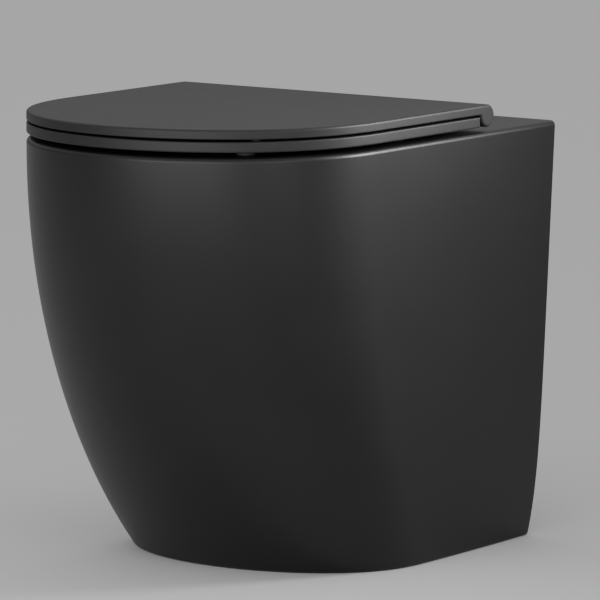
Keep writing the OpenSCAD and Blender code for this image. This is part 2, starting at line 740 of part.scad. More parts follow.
// The housing of a damper from x0 to x1, with a flat below and a hole for its shaft at x0
module damper(d, x0, x1) {
    color(plastic_white) difference() {
        axis_hole(d, x0, x1, d / 2 - damper_flat);
        axis_hole(pin_d + 2 * pin_play, x0 - cut, x0 + shaft_in + end_room);
    }
}
shaft_in = 10;          // length of a damper shaft inside its housing
set_back = 0.2;         // how far a damper sits inside the end of its bore
module seat_damper() {
    mirror([1, 0, 0]) damper(seat_damper_d, -knuckle_end + set_back,
        -knuckle_end + seat_damper_len - set_back);
}
module lid_damper() {
    mirror([1, 0, 0]) damper(lid_damper_d, barrel_x + set_back, barrel_x + lid_damper_len);
}

// A damper shaft on the right, flatted where the fixed barrel holds it
module shaft(round0, round1, flat0, flat1) {
    color(steel) {
        axis_hole(pin_d, round0, round1);
        axis_hole(pin_d, flat0, flat1, pin_d / 2 - shaft_flat);
    }
}
module seat_damper_shaft() {
    shaft(knuckle_end - set_back - shaft_in, fixed_x - set_back,
        fixed_x - 2 * set_back, fixed_x + socket_len - run_gap);
}
module lid_damper_shaft() {
    mirror([1, 0, 0])
        shaft(fixed_end + set_back, barrel_x + set_back + shaft_in,
            fixed_end - socket_len + run_gap, fixed_end + 2 * set_back);
}
module seat_hinge_pin() {
    color(steel) axis_hole(pin_d, -fixed_x - socket_len + run_gap, -knuckle_end + seat_pin_len);
}
module lid_hinge_pin() {
    color(steel) axis_hole(pin_d, fixed_end - socket_len + run_gap, barrel_x + lid_pin_len);
}

// Buffers: places from the wall and from the middle, half way across the rim
front_at = 45;          // direction of the front buffers from the middle of the nose
rear_step = 70;         // distance of the rear buffers behind the middle of the bowl
seat_buffer_front = [
    (bowl_mid + cover_mid + (bowl_front - bowl_mid + rim_nose) * sin(front_at)) / 2,
    (bowl_w / 2 * cos(front_at) + nose_half(pan_w / 2, sin(front_at))) / 2
];
seat_buffer_rear = [bowl_mid - rear_step, (bowl_w + pan_w) / 4];
seat_buffer_places = [seat_buffer_front, seat_buffer_rear];
lid_buffer_place = [
    cover_mid + (rim_nose - lid_border / 2) * sin(front_at),
    nose_half(pan_w / 2 - lid_border / 2, sin(front_at))
];

// A buffer whose pad hangs below the face at z, on a stem that is pressed up into it
pad_edge = 1;           // size of the edge round the pad of a buffer
stem_play = 0.03;       // between a stem and its hole, all round
module buffer(place, z, d, h) {
    r = d / 2;
    stem_r = stem_d / 2 - stem_play;
    color(rubber_grey) translate([place[1], wall_y(place[0]), z]) rotate_extrude() polygon([
        [0, -h], [r - pad_edge, -h], [r, pad_edge - h], [r - pad_edge / 2, 0],
        [stem_r, 0], [stem_r, stem_len], [0, stem_len]
    ]);
}
module seat_buffer_front_left() {
    mirror([1, 0, 0]) buffer(seat_buffer_front, seat_z, buffer_d, rim_gap - run_gap);
}
module seat_buffer_front_right() { buffer(seat_buffer_front, seat_z, buffer_d, rim_gap - run_gap); }
module seat_buffer_rear_left() {
    mirror([1, 0, 0]) buffer(seat_buffer_rear, seat_z, buffer_d, rim_gap - run_gap);
}
module seat_buffer_rear_right() { buffer(seat_buffer_rear, seat_z, buffer_d, rim_gap - run_gap); }
module lid_buffer_left() {
    mirror([1, 0, 0]) buffer(lid_buffer_place, lid_z, lid_buffer_d, lid_gap - run_gap);
}
module lid_buffer_right() { buffer(lid_buffer_place, lid_z, lid_buffer_d, lid_gap - run_gap); }

// Floor fixing, each on the right
plug_d = 10;
plug_len = 18;
plug_floor = 2;         // what stays solid at the end of a plug
plug_drop = 18;         // distance of the plugs below the top of a bracket
plug_z = bracket_h - plug_drop;
screw_d = 5.8;
screw_head_d = 12;
screw_head_t = 3.5;
socket_depth = 2.4;     // depth of the hexagon socket in the head of a screw
module plug_place(x = pad_face) {
    translate([x, wall_y(bracket_back), plug_z]) rotate([0, 90, 0]) children();
}
module floor_bracket() {
    y0 = wall_y(bracket_back + bracket_w / 2);
    y1 = wall_y(bracket_back - bracket_w / 2);
    color(steel) difference() {
        union() {
            box([pad_face - bracket_leg, y0, 0], [pad_face, y1, bracket_t]);
            box([pad_face - bracket_t, y0, 0], [pad_face, y1, bracket_h]);
        }
        translate([floor_hole_spacing / 2, wall_y(bracket_back), -cut])
            cylinder(d = floor_hole_d, h = bracket_t + 2 * cut);
        plug_place(pad_face - bracket_t - cut) 
            cylinder(d = screw_d + bolt_play, h = bracket_t + 2 * cut);
    }
}
module floor_bracket_left() { mirror([1, 0, 0]) floor_bracket(); }
module floor_bracket_right() { floor_bracket(); }
module bracket_plugs() {
    color(plastic_white) both_sides() plug_place() difference() {
        cylinder(d = plug_d - 2 * pin_play, h = plug_len - run_gap);
        translate([0, 0, -cut]) cylinder(d = screw_d + 2 * pin_play, h = plug_len - plug_floor + cut);
    }
}
module bracket_screws() {
    screw_len = screw_head_t + bracket_t + plug_len - plug_floor - end_room;
    color(steel) both_sides() plug_place(pad_face - bracket_t - screw_head_t) difference() {
        union() {
            cylinder(d = screw_head_d, h = screw_head_t);
            translate([0, 0, socket_depth])
                cylinder(d = screw_d, h = screw_len - socket_depth);
        }
        translate([0, 0, -cut]) cylinder(d = hex_d, h = socket_depth + cut, $fn = 6);
    }
}

pan();
seat();
lid();
hinge_base_left();
hinge_base_right();
hinge_gasket_left();
hinge_gasket_right();
fixing_bolt_left();
fixing_bolt_right();
expansion_sleeve_left();
expansion_sleeve_right();
clamp_nut_left();
clamp_nut_right();
seat_damper();
seat_damper_shaft();
lid_damper();
lid_damper_shaft();
seat_hinge_pin();
lid_hinge_pin();
seat_buffer_front_left();
seat_buffer_front_right();
seat_buffer_rear_left();
seat_buffer_rear_right();
lid_buffer_left();
lid_buffer_right();
floor_bracket_left();
floor_bracket_right();
bracket_plugs();
bracket_screws();
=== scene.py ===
"""Dresses a floor-standing toilet.

Smooth shells stand for the pan, the seat and the lid, and every piece gets a finish. Lengths are
millimetres until a mesh is done, and metres after that. Light places and sizes are metres.
"""

from __future__ import annotations

import json
import logging
import math
from dataclasses import dataclass
from enum import Enum
from typing import Iterable, Sequence, Union

import bmesh
import bpy
from mathutils import Matrix, Vector

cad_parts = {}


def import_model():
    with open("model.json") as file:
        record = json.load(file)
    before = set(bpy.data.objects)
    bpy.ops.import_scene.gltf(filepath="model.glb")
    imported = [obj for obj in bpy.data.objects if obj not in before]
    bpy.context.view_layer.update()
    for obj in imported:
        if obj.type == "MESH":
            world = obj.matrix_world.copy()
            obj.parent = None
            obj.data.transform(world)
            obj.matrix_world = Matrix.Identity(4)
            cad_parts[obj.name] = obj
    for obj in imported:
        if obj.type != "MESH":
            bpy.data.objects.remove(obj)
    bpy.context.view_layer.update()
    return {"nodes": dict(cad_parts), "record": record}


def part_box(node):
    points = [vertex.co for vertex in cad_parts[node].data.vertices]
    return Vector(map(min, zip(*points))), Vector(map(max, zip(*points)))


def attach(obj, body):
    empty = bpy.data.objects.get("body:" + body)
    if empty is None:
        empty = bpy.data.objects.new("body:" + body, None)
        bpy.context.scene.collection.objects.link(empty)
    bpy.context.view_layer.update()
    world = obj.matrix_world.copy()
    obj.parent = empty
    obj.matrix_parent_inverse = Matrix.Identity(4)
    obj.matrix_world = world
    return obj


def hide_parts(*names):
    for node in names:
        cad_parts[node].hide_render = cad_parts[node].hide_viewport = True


MM = 0.001
SHARP_ANGLE = math.radians(38)
WELD = 1e-4  # points of a mould nearer than this, in millimetres, become one
MERGE = 2e-6  # the same for a finished piece, in metres
OVERRUN = 1.0  # how far a cutting mould runs past the face that it cuts
BRUSH_STRETCH = (0.06, 1.0, 1.0)  # draws the grain out along X, the way that the steel is brushed

log = logging.getLogger("toilet")

Plan = list[tuple[float, float]]
Value = Union["Wire", float, tuple]


class Side(Enum):
    """The two sides of the toilet, seen by a person in front of it."""

    LEFT = -1
    RIGHT = 1


class Joining(Enum):
    """How one closed mesh meets another."""

    ADD = "UNION"
    CUT = "DIFFERENCE"


def arc(start: float, end: float, steps: int) -> list[float]:
    """Evenly spaced angles.

    Args:
        start: The first angle in degrees.
        end: The last angle in degrees.
        steps: How many steps lie between them.

    Returns:
        The angles in radians, both ends included.
    """
    return [math.radians(start + (end - start) * i / steps) for i in range(steps + 1)]


class Mould:
    """A closed mesh in the making, in millimetres."""

    def __init__(self) -> None:
        """Starts with an empty mesh."""
        self.bm = bmesh.new()

    def loft(self, rings: Sequence[Sequence[Vector]], loop: bool = False) -> "Mould":
        """Draws a skin through rings of equal length.

        Args:
            rings: The rings, in the order of travel.
            loop: Whether the last ring joins the first again, instead of both being closed.

        Returns:
            This mould.
        """
        bm = self.bm
        made = bmesh.ops.create_circle(bm, segments=len(rings[0]), radius=1.0)["verts"]
        bm.verts.index_update()
        ring = sorted(made, key=lambda v: v.index)
        for vert, place in zip(ring, rings[0]):
            vert.co = place
        first = self._edges(ring)
        edges = first
        for places in rings[1:]:
            grown = bmesh.ops.extrude_edge_only(bm, edges=edges)["geom"]
            new = {v for v in grown if isinstance(v, bmesh.types.BMVert)}
            ring = [next(e.other_vert(v) for e in v.link_edges if e.other_vert(v) in new) for v in ring]
            for vert, place in zip(ring, places):
                vert.co = place
            edges = self._edges(ring)
        if loop:
            bmesh.ops.bridge_loops(bm, edges=first + edges)
        else:
            bmesh.ops.contextual_create(bm, geom=first)
            bmesh.ops.contextual_create(bm, geom=edges)
        return self

    @staticmethod
    def _edges(ring: Sequence[bmesh.types.BMVert]) -> list[bmesh.types.BMEdge]:
        """Returns the edges that join a ring of vertices, in the order of the ring."""
        return [next(e for e in v.link_edges if e.other_vert(v) == after)
                for v, after in zip(ring, [*ring[1:], ring[0]])]

    def rod(self, radius: float, start: Vector, end: Vector, segments: int = 64) -> "Mould":
        """Adds a cylinder.

        Args:
            radius: Its radius.
            start: The middle of one end.
            end: The middle of the other end.
            segments: The number of its sides.

        Returns:
            This mould.
        """
        way = end - start
        turn = Vector((0, 0, 1)).rotation_difference(way).to_matrix().to_4x4()
        bmesh.ops.create_cone(self.bm, cap_ends=True, segments=segments, radius1=radius, radius2=radius,
                              depth=way.length, matrix=Matrix.Translation((start + end) / 2) @ turn)
        return self

    def block(self, corner: Vector, other: Vector) -> "Mould":
        """Adds a box.

        Args:
            corner: One corner.
            other: The opposite corner.

        Returns:
            This mould.
        """
        size = [abs(b - a) for a, b in zip(corner, other)]
        place = Matrix.Translation((corner + other) / 2) @ Matrix.Diagonal((*size, 1))
        bmesh.ops.create_cube(self.bm, size=1.0, matrix=place)
        return self

    def wrap(self, points: Iterable[Vector]) -> "Mould":
        """Adds the tightest convex skin round some points.

        Args:
            points: The points, of which those inside the skin are dropped.

        Returns:
            This mould.
        """
        verts = [self.bm.verts.new(p) for p in points]
        out = bmesh.ops.convex_hull(self.bm, input=verts)
        loose = [g for g in out["geom_interior"] if isinstance(g, bmesh.types.BMVert)]
        bmesh.ops.delete(self.bm, geom=loose, context="VERTS")
        return self

    def _settle(self) -> None:
        """Orders edges and faces by their vertices, because an extrusion leaves them in a chance order."""
        self.bm.verts.index_update()
        for items in (self.bm.edges, self.bm.faces):
            ranked = sorted(items, key=lambda item: sorted(vert.index for vert in item.verts))
            for rank, item in enumerate(ranked):
                item.index = rank
            items.sort()

    def cast(self, name: str) -> bpy.types.Object:
        """Finishes the mesh and makes an object of it, in metres.

        Args:
            name: The name of the object.

        Returns:
            The object, which is in the scene.
        """
        bm = self.bm
        bmesh.ops.remove_doubles(bm, verts=bm.verts, dist=WELD)
        bmesh.ops.scale(bm, vec=Vector((MM, MM, MM)), verts=bm.verts)
        bmesh.ops.recalc_face_normals(bm, faces=bm.faces)
        self._settle()
        mesh = bpy.data.meshes.new(name)
        bm.to_mesh(mesh)
        bm.free()
        body = bpy.data.objects.new(name, mesh)
        bpy.context.scene.collection.objects.link(body)
        return body


def work(body: bpy.types.Object, tools: Sequence[Mould], joining: Joining) -> None:
    """Adds meshes to an object or cuts them out of it.

    Args:
        body: The object that is changed.
        tools: The meshes that meet it, which are used up.
        joining: Whether they are added or cut out.
    """
    if not tools:
        return
    box = bpy.data.collections.new("tools")
    parts = [tool.cast("tool") for tool in tools]
    for part in parts:
        box.objects.link(part)
    step = body.modifiers.new("work", "BOOLEAN")
    step.operation = joining.value
    step.solver = "EXACT"
    step.operand_type = "COLLECTION"
    step.collection = box
    bpy.context.view_layer.update()
    graph = bpy.context.evaluated_depsgraph_get()
    old = body.data
    body.data = bpy.data.meshes.new_from_object(body.evaluated_get(graph))
    body.modifiers.clear()
    bpy.data.meshes.remove(old)
    for part in parts:
        bpy.data.meshes.remove(part.data)
    bpy.data.collections.remove(box)


def is_idle(vert: bmesh.types.BMVert) -> bool:
    """Tells whether a vertex only lies on the straight way between its two neighbours.

    Args:
        vert: The vertex.

    Returns:
        Whether the mesh keeps its shape without it.
    """
    if len(vert.link_edges) != 2:
        return False
    first, last = (edge.other_vert(vert).co for edge in vert.link_edges)
    way = last - first
    return way.cross(vert.co - first).length <= MERGE * way.length


def smooth(body: bpy.types.Object) -> None:
    """Cleans a finished mesh and shades it smooth, apart from its sharp edges.

    Args:
        body: The object that wears the mesh.
    """
    bm = bmesh.new()
    bm.from_mesh(body.data)
    bmesh.ops.remove_doubles(bm, verts=bm.verts, dist=MERGE)
    bmesh.ops.dissolve_degenerate(bm, dist=MERGE, edges=bm.edges)
    bmesh.ops.dissolve_verts(bm, verts=[vert for vert in bm.verts if is_idle(vert)])
    bm.to_mesh(body.data)
    bm.free()
    body.data.shade_smooth()
    body.data.set_sharp_from_angle(angle=SHARP_ANGLE)
    even = body.modifiers.new("even_light", "WEIGHTED_NORMAL")
    even.mode = "FACE_AREA"
    even.weight = 90
    even.keep_sharp = True


@dataclass
class Size:
    """The sizes that the pan, the seat and the lid share, taken from the frame."""

    width: float
    depth: float
    rim: float
    lid_top: float
    lid_back: float
    barrel_r: float = 10.75
    rim_nose: float = 182.0
    nose_fullness: float = 2.3
    knuckle_r: float = 8.0
    hole_spacing: float = 155.0
    hole_back: float = 136.0
    fixed_len: float = 33.0
    knuckle_len: float = 32.0
    end_play: float = 1.0
    play: float = 0.05
    lid_gap: float = 2.0
    lid_t: float = 9.0
    seat_t: float = 10.0

    @classmethod
    def from_frame(cls) -> "Size":
        """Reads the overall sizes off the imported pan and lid.

        Returns:
            The sizes.
        """
        pan_low, pan_high = (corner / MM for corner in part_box("pan"))
        _, lid_high = (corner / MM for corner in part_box("lid"))
        return cls(width=pan_high.x - pan_low.x, depth=pan_high.y - pan_low.y, rim=pan_high.z,
                   lid_top=lid_high.z, lid_back=pan_high.y - lid_high.y)

    def wall_y(self, back: float) -> float:
        """Returns the Y of a place that lies so far from the wall."""
        return self.depth / 2 - back

    def at(self, x: float, back: float, z: float) -> Vector:
        """Returns a point from its distance to the middle, to the wall and to the floor."""
        return Vector((x, self.wall_y(back), z))

    @property
    def axis_back(self) -> float:
        """Distance from the wall to the hinge axis."""
        return self.lid_back + self.barrel_r

    @property
    def axis_z(self) -> float:
        """Height of the hinge axis."""
        return self.lid_top - self.barrel_r

    @property
    def axis(self) -> Vector:
        """Where the hinge axis crosses the middle plane."""
        return self.at(0, self.axis_back, self.axis_z)

    @property
    def lid_z(self) -> float:
        """Height of the underside of the lid."""
        return self.lid_top - self.lid_t

    @property
    def seat_z(self) -> float:
        """Height of the underside of the seat."""
        return self.lid_z - self.lid_gap - self.seat_t

    @property
    def fixed_x(self) -> float:
        """Where a fixed barrel starts, from the middle."""
        return self.hole_spacing / 2 - self.fixed_len / 2

    @property
    def fixed_end(self) -> float:
        """Where a fixed barrel ends, from the middle."""
        return self.fixed_x + self.fixed_len

    @property
    def knuckle_end(self) -> float:
        """Where a seat knuckle ends, from the middle."""
        return self.fixed_x - self.end_play

    @property
    def knuckle_x(self) -> float:
        """Where a seat knuckle starts, from the middle."""
        return self.knuckle_end - self.knuckle_len

    @property
    def barrel_x(self) -> float:
        """Where the full round of the lid starts, from the middle."""
        return self.fixed_end + self.end_play

    def hinge_rod(self, radius: float, start: float, end: float) -> Mould:
        """Returns a rod along the hinge axis from one distance to another."""
        return Mould().rod(radius, self.axis + Vector((start, 0, 0)), self.axis + Vector((end, 0, 0)))

    def outline(self, back: float, half_back: float, half_mid: float, mid: float, tip: float,
                corner: float, counts: tuple[int, int, int] = (14, 20, 40)) -> Plan:
        """Plan outline with a straight back, two sides and a round nose.

        Args:
            back: Distance from the wall to the back edge.
            half_back: Half the width at the back.
            half_mid: Half the width where the nose starts.
            mid: Distance from the wall to the start of the nose.
            tip: Distance from the wall to the front.
            corner: Radius of the back corners.
            counts: Points on half the back edge, on a side and on half the nose.

        Returns:
            Points as distance from the middle and from the wall, once round.
        """
        n_back, n_side, n_nose = counts
        half = [((half_back - corner) * i / n_back, back) for i in range(n_back)]
        half += [(half_back - corner * (1 - math.cos(a)), back + corner * (1 - math.sin(a)))
                 for a in arc(90, 0, 4)]
        start = back + corner
        for i in range(1, n_side):
            share = i / n_side
            half.append((half_mid - (half_mid - half_back) * (1 - share) ** 2, start + (mid - start) * share))
        for a in arc(0, 90, n_nose):
            share = math.sin(a)
            half.append((half_mid * math.sqrt(1 - share ** self.nose_fullness), mid + (tip - mid) * share))
        return half + [(-x, d) for x, d in reversed(half[1:-1])]

    def cover(self, back: float, corner: float) -> Plan:
        """Returns the plan outline that the seat and the lid share."""
        half = self.width / 2
        return self.outline(back, half, half, self.cover_mid, self.depth, corner)

    @property
    def cover_mid(self) -> float:
        """Distance from the wall to the start of the nose at rim height."""
        return self.depth - self.rim_nose

    def ring(self, plan: Plan, z: float) -> list[Vector]:
        """Returns a plan outline as points at one height."""
        return [self.at(x, d, z) for x, d in plan]


@dataclass
class Pan:
    """The ceramic casting: a swept skirt, a deck, a rimless bowl and its water ways."""

    size: Size
    side_taper: float = 19.5
    foot_tuck: float = 10.0
    tuck_power: int = 8
    foot_swell: float = 5.0
    foot_setback: float = 157.5
    sweep_power: float = 2.1
    foot_nose: float = 128.0
    wall: float = 11.0
    deck_t: float = 14.0
    rim_edge_r: float = 5.0
    foot_edge_r: float = 3.0
    corner_r: float = 4.0
    service_w: float = 250.0
    service_h: float = 372.0
    service_r: float = 25.0
    bowl_w: float = 252.0
    bowl_back: float = 172.0
    front_rim: float = 38.0
    bowl_edge_r: float = 6.0
    shelf_drop: float = 36.0
    shelf_w: float = 8.0
    shelf_lip_r: float = 3.0
    shelf_lip_sink: float = 0.4
    shelf_cove_r: float = 3.5
    shelf_cove_rise: float = 3.4
    bowl_fullness: float = 1.25
    bowl_shift: float = 1.6
    bowl_rear: float = 2.2
    bowl_close: int = 24
    sump_h: float = 97.0
    sump_back: float = 258.0
    sump_wall_back: float = 240.0
    trap_d: float = 50.0
    trap_low_h: float = 125.0
    seal_depth: float = 50.0
    duct_wall: float = 8.0
    wall_rise: float = 4.0
    bend_slack: float = 2.0
    dip_lead: float = 4.0
    flare_stop: float = 3.0
    flare_over: float = 1.5
    spigot_d: float = 102.0
    spigot_bore: float = 82.0
    spigot_h: float = 180.0
    spigot_back: float = 30.0
    spigot_len: float = 50.0
    spigot_edge_r: float = 1.5
    inlet_d: float = 55.0
    inlet_h: float = 322.0
    inlet_back: float = 55.0
    inlet_len: float = 62.0
    slot_w: float = 110.0
    slot_h: float = 14.0
    slot_step: float = 1.0
    slot_reach: float = 8.0
    chamber_lip: float = 4.0
    hole_d: float = 15.0
    pad_w: float = 50.0
    pad_h: float = 61.0
    pad_face: float = 116.0
    bracket_back: float = 84.0
    plug_z: float = 38.0
    plug_d: float = 10.0
    plug_len: float = 18.0
    skirt_rows: int = 36
    hollow_rows: int = 18
    row_bias: float = 1.3
    crest_steps: int = 18
    fall_steps: int = 10
    flare_steps: int = 8

    def drop(self, z: float) -> float:
        """Returns how far down a height lies, from 0 at the rim to 1 at the floor."""
        return (self.size.rim - max(0.0, min(self.size.rim, z))) / self.size.rim

    def half_back(self, z: float) -> float:
        """Returns half the width of the pan at the wall, at a height."""
        drop = self.drop(z)
        return self.size.width / 2 - self.side_taper * drop - self.foot_tuck * drop ** self.tuck_power

    def skirt(self, z: float, inset: float = 0.0, back: float = 0.0) -> list[Vector]:
        """A ring round the outside of the pan.

        Args:
            z: Its height.
            inset: How far it is drawn in from the outside.
            back: Distance from the wall to its back edge.

        Returns:
            The points of the ring.
        """
        drop = self.drop(z)
        tip = self.size.depth - self.foot_setback * drop ** self.sweep_power
        nose = self.size.rim_nose + (self.foot_nose - self.size.rim_nose) * drop
        half = self.half_back(z)
        plan = self.size.outline(back, half - inset, half + self.foot_swell * drop - inset, tip - nose,
                                 tip - inset, self.corner_r)
        return self.size.ring(plan, z)

    def egg(self, half_w: float, back: float, mid: float, tip: float, z: float,
            steps: int = 144) -> list[Vector]:
        """A ring of the bowl.

        Args:
            half_w: Half its width.
            back: Distance from the wall to its back.
            mid: Distance from the wall to its widest place.
            tip: Distance from the wall to its front.
            z: Its height.
            steps: The number of its points.

        Returns:
            The points of the ring.
        """
        turns = (2 * math.pi * i / steps for i in range(steps))
        return [self.size.at(half_w * math.cos(a),
                             mid + (tip - mid if math.sin(a) > 0 else mid - back) * math.sin(a), z)
                for a in turns]

    @property
    def bowl_top(self) -> float:
        """Height of the flush shelf."""
        return self.size.rim - self.shelf_drop

    @property
    def bowl_front(self) -> float:
        """Distance from the wall to the front of the bowl opening."""
        return self.size.depth - self.front_rim

    @property
    def bowl_mid(self) -> float:
        """Distance from the wall to the middle of the bowl opening."""
        return (self.bowl_front + self.bowl_back) / 2

    def bowl_ring(self, depth: float, grow: float = 0.0) -> list[Vector]:
        """A ring of the bowl below its shelf.

        Args:
            depth: How far down it lies, from 0 at the shelf to 1 at the sump floor.
            grow: How far it stands outside the inner face.

        Returns:
            The points of the ring.
        """
        round_off = math.sqrt(1 - depth ** self.bowl_fullness)
        mid = self.bowl_mid + (self.sump_back - self.bowl_mid) * depth ** self.bowl_shift
        tip = mid + (self.bowl_front - self.shelf_w - self.bowl_mid) * round_off
        slope = self.sump_wall_back - self.bowl_back - self.shelf_w
        line = self.sump_wall_back - slope * (1 - depth) ** self.bowl_rear
        back = line + (self.sump_back - line) * depth ** self.bowl_close
        z = self.bowl_top - (self.bowl_top - self.sump_h) * depth - grow * depth
        return self.egg((self.bowl_w / 2 - self.shelf_w) * round_off + grow, back - grow, mid, tip + grow, z)

    def opening_ring(self, z: float, grow: float = 0.0) -> list[Vector]:
        """Returns a ring of the bowl opening at a height, larger by grow."""
        return self.egg(self.bowl_w / 2 + grow, self.bowl_back - grow, self.bowl_mid,
                        self.bowl_front + grow, z)

    def outside(self) -> Mould:
        """Makes the skirt, the deck and the hollow inside them, with rows closer near the foot.

        Returns:
            One closed shell.
        """
        rim, foot, edge = self.size.rim, self.foot_edge_r, self.rim_edge_r
        straight = rim - edge - foot
        rings = [self.skirt(rim - edge * (1 - math.sin(a)), edge * (1 - math.cos(a))) for a in arc(90, 0, 8)]
        rows = self.skirt_rows
        rings += [self.skirt(foot + straight * (i / rows) ** self.row_bias)
                  for i in range(rows - 1, -1, -1)]
        rings += [self.skirt(foot * (1 - math.sin(a)), foot * (1 - math.cos(a))) for a in arc(0, 90, 5)[1:]]
        under = rim - self.deck_t
        rows = self.hollow_rows
        rings += [self.skirt(under * i / rows, self.wall, self.wall) for i in range(rows + 1)]
        return Mould().loft(rings)

    def bowl_inside(self) -> Mould:
        """Makes the space of the bowl, from the sump floor up past the rim.

        Returns:
            The closed space, to be cut out.
        """
        rim, edge = self.size.rim, self.bowl_edge_r
        rings = [self.bowl_ring(math.sin(a)) for a in arc(88.5, 4.5, 28)]
        lip, lip_z = self.shelf_lip_r, self.bowl_top - self.shelf_lip_sink
        rings += [self.opening_ring(lip_z + lip * math.sin(a), -self.shelf_w + lip * (1 - math.cos(a)))
                  for a in arc(0, 90, 4)]
        cove, cove_z = self.shelf_cove_r, self.bowl_top + self.shelf_cove_rise
        rings += [self.opening_ring(cove_z + cove * (1 - math.cos(a)), cove * (math.sin(a) - 1))
                  for a in arc(0, 90, 5)]
        rings += [self.opening_ring(rim - edge * (1 - math.sin(a)), edge * (1 - math.cos(a)))
                  for a in arc(0, 90, 8)]
        rings.append(self.opening_ring(rim + 2 * OVERRUN, edge + 2 * OVERRUN))
        return Mould().loft(rings)

    def bowl_outside(self) -> Mould:
        """Makes the outer skin of the bowl's own wall, up into the deck.

        Returns:
            The closed skin, to be added.
        """
        rings = [self.bowl_ring(math.sin(a), self.wall) for a in arc(86, 6, 20)]
        rings.append(self.opening_ring(self.bowl_top + self.wall_rise, self.wall))
        rings.append(self.opening_ring(self.size.rim - self.deck_t / 2, self.wall))
        return Mould().loft(rings)

    def trap_line(self) -> list[tuple[float, float, float, float]]:
        """The middle line of the trapway.

        Returns:
            Its points, as distance from the wall, height, slope in radians and radius of the bore.
        """
        radius = self.trap_d / 2
        bend = radius + self.duct_wall + self.bend_slack
        dip = self.sump_wall_back - self.dip_lead
        crest = dip - 2 * bend
        crest_z = self.trap_low_h + self.trap_d + self.seal_depth
        fall = math.acos(1 - (crest_z - self.spigot_h) / (2 * bend))
        fall_end = crest - 2 * bend * math.sin(fall)
        low = self.trap_low_h
        line = [(self.sump_back, low, 0.0, radius)]
        line += [(dip - bend * math.sin(a), low + bend * (1 - math.cos(a)), a, radius)
                 for a in arc(0, 90, 10)]
        top, turn = math.pi / 2, math.pi / 2 + fall
        for i in range(self.crest_steps + 1):
            a = top - turn * i / self.crest_steps
            line.append((crest + bend * math.sin(a), crest_z - bend * (1 - math.cos(a)), a, radius))
        for i in range(1, self.fall_steps + 1):
            a = fall * (1 - i / self.fall_steps)
            line.append((fall_end + bend * math.sin(a), self.spigot_h + bend * (1 - math.cos(a)), -a, radius))
        flare_end = self.spigot_back + self.spigot_len - self.flare_stop
        flare_r = self.spigot_bore / 2 + self.flare_over
        for i in range(1, self.flare_steps + 1):
            share = i / self.flare_steps
            line.append((fall_end + (flare_end - fall_end) * share, self.spigot_h, 0.0,
                         radius + (flare_r - radius) * share * share * (3 - 2 * share)))
        return line

    def duct(self, grow: float) -> Mould:
        """Makes a round duct along the trapway.

        Args:
            grow: How much larger than the bore its radius is.

        Returns:
            The closed duct.
        """
        rings = []
        for back, z, slope, radius in self.trap_line():
            r = radius + grow
            rings.append([self.size.at(r * math.cos(a), back + r * math.sin(a) * math.sin(slope),
                                       z + r * math.sin(a) * math.cos(slope))
                          for a in arc(0, 360, 40)[:-1]])
        return Mould().loft(rings)

    def spigot(self) -> Mould:
        """Makes the waste spigot, a short tube with softened edges.

        Returns:
            The closed tube.
        """
        outer, bore, soft = self.spigot_d / 2, self.spigot_bore / 2, self.spigot_edge_r
        start, end = self.spigot_back, self.spigot_back + self.spigot_len
        profile = [(bore, end), (bore, start + soft)]
        profile += [(bore + soft * (1 - math.cos(a)), start + soft * (1 - math.sin(a)))
                    for a in arc(0, 90, 3)]
        profile += [(outer - soft * (1 - math.sin(a)), start + soft * (1 - math.cos(a)))
                    for a in arc(0, 90, 3)]
        profile.append((outer, end))
        rings = [[self.size.at(r * math.cos(a), back, self.spigot_h + r * math.sin(a))
                  for a in arc(0, 360, 64)[:-1]] for r, back in profile]
        return Mould().loft(rings, loop=True)

    def bar(self, diameter: float, back: float, z: float, length: float) -> Mould:
        """Returns a rod that starts at a distance from the wall and runs forwards."""
        return Mould().rod(diameter / 2, self.size.at(0, back, z), self.size.at(0, back + length, z))

    def box_points(self, half_w: float, back: float, front: float, low: float,
                   high: float) -> list[Vector]:
        """Returns the eight corners of a box that stands across the middle."""
        return [self.size.at(x, d, z) for x in (-half_w, half_w) for d in (back, front) for z in (low, high)]

    def inlet(self) -> list[Mould]:
        """Makes the round flush inlet and the chamber that leads from it to the bowl.

        Returns:
            The two closed forms, to be added.
        """
        outer = self.inlet_d / 2 + self.wall
        end = self.inlet_back + self.inlet_len
        front = self.bowl_back + self.shelf_w
        top = self.size.rim - self.deck_t / 2
        chamber = self.box_points(outer, end - self.wall, end + self.wall / 2, self.inlet_h - outer / 2, top)
        chamber += self.box_points(self.slot_w / 2 + self.wall, front - self.chamber_lip, front,
                                   self.bowl_top - self.wall, top)
        return [self.bar(2 * outer, self.inlet_back, self.inlet_h, self.inlet_len + self.wall / 2),
                Mould().wrap(chamber)]

    def flush_slot(self) -> Mould:
        """Makes the slot that leads the flush from the inlet over the shelf.

        Returns:
            The closed slot, to be cut out.
        """
        top = self.inlet_h + self.inlet_d / 2 - self.slot_step
        back = self.inlet_back + self.inlet_len
        front = self.bowl_back + self.shelf_w + self.chamber_lip
        low = self.bowl_top + self.slot_step
        points = self.box_points(self.inlet_d / 4, back - self.slot_reach, back + 2 * OVERRUN,
                                 top - self.slot_h, top)
        points += self.box_points(self.slot_w / 2, front - self.slot_h, front, low, low + self.slot_h)
        return Mould().wrap(points)

    def pads(self) -> list[Mould]:
        """Makes the thick pads inside the foot that the brackets clamp.

        Returns:
            The pads, to be added.
        """
        moulds = []
        for side in Side:
            points = []
            for z in (0.0, self.pad_h):
                outer = self.half_back(z) - self.wall / 2
                for x in (self.pad_face, outer):
                    for d in (self.bracket_back - self.pad_w / 2, self.bracket_back + self.pad_w / 2):
                        points.append(self.size.at(side.value * x, d, z))
            moulds.append(Mould().wrap(points))
        return moulds

